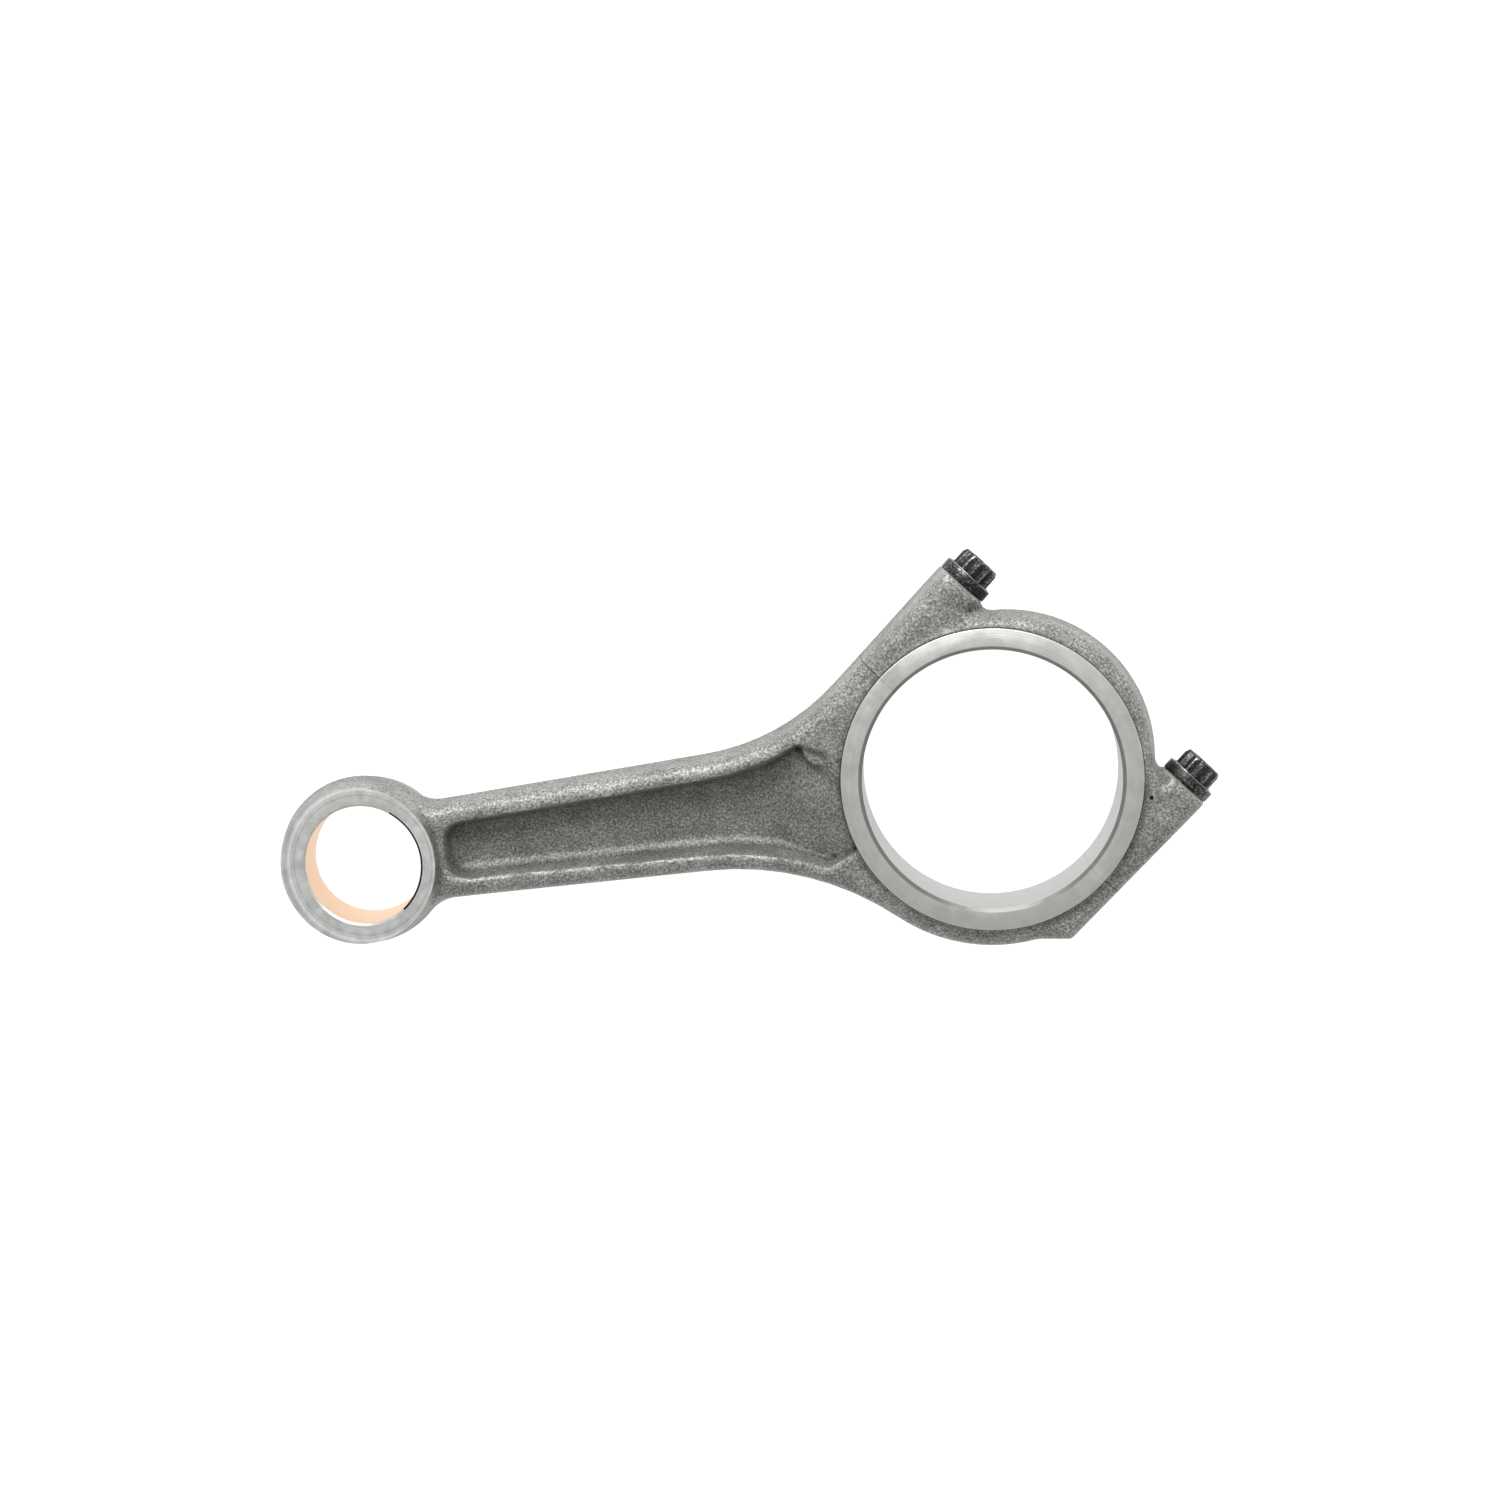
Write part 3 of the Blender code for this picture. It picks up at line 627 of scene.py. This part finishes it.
def cap_bolt():
    """A flange bolt on +Z: its seat at zero, its head above and its shank below."""
    # Twelve-point head: every other corner of 24 is drawn in, and the top is chamfered.
    bpy.ops.mesh.primitive_cylinder_add(vertices=24, radius=HEAD_CORNERS,
                                        depth=HEAD_HEIGHT + 0.001,
                                        location=(0, 0, FLANGE_THICKNESS
                                                  + (HEAD_HEIGHT - 0.001) / 2))
    head = name_it("head", bolt_black)
    for vertex in head.data.vertices:
        turn = round(math.atan2(vertex.co.x, vertex.co.y) / math.tau * 24)
        if turn % 2:
            vertex.co.x *= 0.855
            vertex.co.y *= 0.855
    edge = head.modifiers.new("rounded points", "BEVEL")
    edge.width = 0.00028
    edge.segments = 2
    edge.limit_method = "ANGLE"
    edge.angle_limit = math.radians(25)
    apply_modifiers(head)
    bpy.ops.mesh.primitive_cone_add(vertices=96, radius1=HEAD_CORNERS + 0.0040,
                                    radius2=HEAD_CORNERS - 0.0008, depth=0.0048 + HEAD_HEIGHT,
                                    location=(0, 0, FLANGE_THICKNESS + HEAD_HEIGHT
                                              - (0.0048 + HEAD_HEIGHT) / 2))
    machine(head, name_it("head_chamfer", bolt_black), operation="INTERSECT")
    bpy.ops.mesh.primitive_cylinder_add(vertices=64, radius=0.0042, depth=0.0016,
                                        location=(0, 0, FLANGE_THICKNESS + HEAD_HEIGHT))
    dish = name_it("dish", bolt_black)
    edge = dish.modifiers.new("dished", "BEVEL")
    edge.width = 0.0007
    edge.segments = 3
    apply_modifiers(dish)
    machine(head, dish)

    # Flange with a bevelled shoulder up to the head and a chamfered rim.
    bpy.ops.mesh.primitive_cylinder_add(vertices=96, radius=FLANGE_RADIUS,
                                        depth=FLANGE_THICKNESS,
                                        location=(0, 0, FLANGE_THICKNESS / 2))
    flange = name_it("flange", bolt_black)
    pick_faces(flange, lambda face: face.normal.z > 0.9)
    bpy.ops.mesh.inset(thickness=0.0012)
    bpy.ops.mesh.extrude_region_move(TRANSFORM_OT_translate={"value": (0, 0, 0.0004)})
    bpy.ops.object.mode_set(mode="OBJECT")
    edge = flange.modifiers.new("turned edges", "BEVEL")
    edge.width = 0.00035
    edge.segments = 2
    edge.limit_method = "ANGLE"
    edge.angle_limit = math.radians(40)
    apply_modifiers(flange)

    # Plain shank, necked down to meet the rolled thread.
    end = BOLT_END - SEAT_HEIGHT
    bpy.ops.mesh.primitive_cylinder_add(vertices=64, radius=0.0049,
                                        depth=-end - THREAD_LENGTH + 0.001,
                                        location=(0, 0, (end + THREAD_LENGTH) / 2))
    machine(flange, name_it("shank", bolt_black), operation="UNION")
    # Rolled thread: a V profile is wound down the shank, and its ends are closed.
    turns = int(THREAD_LENGTH / PITCH)
    mesh = bpy.data.meshes.new("thread")
    profile = [(0.00530, 0.0), (0.00530, 0.00012), (0.00462, 0.00056), (0.00462, 0.00069),
               (0.00530, PITCH)]
    mesh.from_pydata([(r, 0, z) for r, z in profile], [(i, i + 1) for i in range(4)], [])
    coil = bpy.data.objects.new("thread", mesh)
    bpy.context.collection.objects.link(coil)
    wind = coil.modifiers.new("winding", "SCREW")
    wind.steps = wind.render_steps = 36
    wind.screw_offset = PITCH
    wind.iterations = turns
    wind.use_merge_vertices = True
    wind.merge_threshold = 1e-6
    apply_modifiers(coil)
    lift = end - min(vertex.co.z for vertex in coil.data.vertices)
    for vertex in coil.data.vertices:
        vertex.co.z += lift
    single_out(coil)
    bpy.ops.object.mode_set(mode="EDIT")
    bpy.ops.mesh.select_all(action="SELECT")
    bpy.ops.mesh.remove_doubles(threshold=2e-6)
    bpy.ops.mesh.select_all(action="DESELECT")
    bpy.ops.mesh.select_mode(type="EDGE")
    bpy.ops.mesh.select_non_manifold()
    bpy.ops.mesh.extrude_edges_move()
    bpy.ops.transform.resize(value=(0.4, 0.4, 1), center_override=(0, 0, end))
    bpy.ops.mesh.fill_holes(sides=0)
    bpy.ops.mesh.select_all(action="SELECT")
    bpy.ops.mesh.normals_make_consistent(inside=False)
    bpy.ops.object.mode_set(mode="OBJECT")
    coil.data.materials.append(bolt_black)
    machine(flange, coil, operation="UNION")
    machine(flange, head, operation="UNION")
    return flange


pattern_bolt = cap_bolt()
for side, name, node in ((1, "upper_bolt", "upper_cap_bolt"),
                         (-1, "lower_bolt", "lower_cap_bolt")):
    bolt = pattern_bolt.copy()
    bolt.data = pattern_bolt.data.copy()
    bolt.name = bolt.data.name = name
    bpy.context.collection.objects.link(bolt)
    bolt.location = at_split(side * BOLT_OFFSET, SEAT_HEIGHT)
    bolt.rotation_euler = along_bolts
    single_out(bolt)
    bpy.ops.object.transform_apply(location=True, rotation=True, scale=True)
    bpy.ops.object.shade_smooth_by_angle(angle=math.radians(30))
    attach(bolt, name)
    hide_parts(node)
bpy.data.objects.remove(pattern_bolt)

# --- Studio ----------------------------------------------------------------------------
# A white lit table, a broad soft light above the rod's upper edge and a pale surround.

bpy.ops.mesh.primitive_plane_add(size=6, location=(0, 0, bottom - 0.0004))
floor = name_it("floor")
lit_table = bpy.data.materials.new("white_lit_table")
lit_table.use_nodes = True
shader = lit_table.node_tree.nodes["Principled BSDF"]
shader.inputs["Base Color"].default_value = (0.35, 0.35, 0.35, 1)
shader.inputs["Roughness"].default_value = 0.9
shader.inputs["Emission Color"].default_value = (1, 1, 1, 1)
shader.inputs["Emission Strength"].default_value = 0.94
floor.data.materials.append(lit_table)

world = bpy.data.worlds.new("pale_studio")
bpy.context.scene.world = world
world.use_nodes = True
world.node_tree.nodes["Background"].inputs["Color"].default_value = (1, 1, 1, 1)
world.node_tree.nodes["Background"].inputs["Strength"].default_value = 0.62


def soft_light(name, place, size, power):
    bpy.ops.object.light_add(type="AREA", location=place)
    light = bpy.context.object
    light.name = name
    light.data.size = size
    light.data.energy = power
    aim = Vector((0, 0, middle)) - Vector(place)
    light.rotation_euler = aim.to_track_quat("-Z", "Y").to_euler()


soft_light("top_softbox", (0.0, 1.7, 1.5), 1.2, 52)
soft_light("edge_softbox", (0.2, 1.5, 0.35), 0.8, 3)

bpy.ops.object.camera_add()
camera = bpy.context.object
camera.data.lens = 101.166
camera.data.sensor_width = 36
camera.data.clip_start = 0.01
forward = Vector((-0.05708902, -0.10001068, -0.99334722))
up = Vector((0.13623043, 0.98488317, -0.10698786))
right = forward.cross(up)
turn = Matrix((right, up, -forward)).transposed().to_4x4()
camera.matrix_world = Matrix.Translation(big_end + Vector((0.0016, 0.1536, 1.3462 + middle))) @ turn
bpy.context.scene.camera = camera
bpy.context.scene.view_settings.view_transform = "Standard"
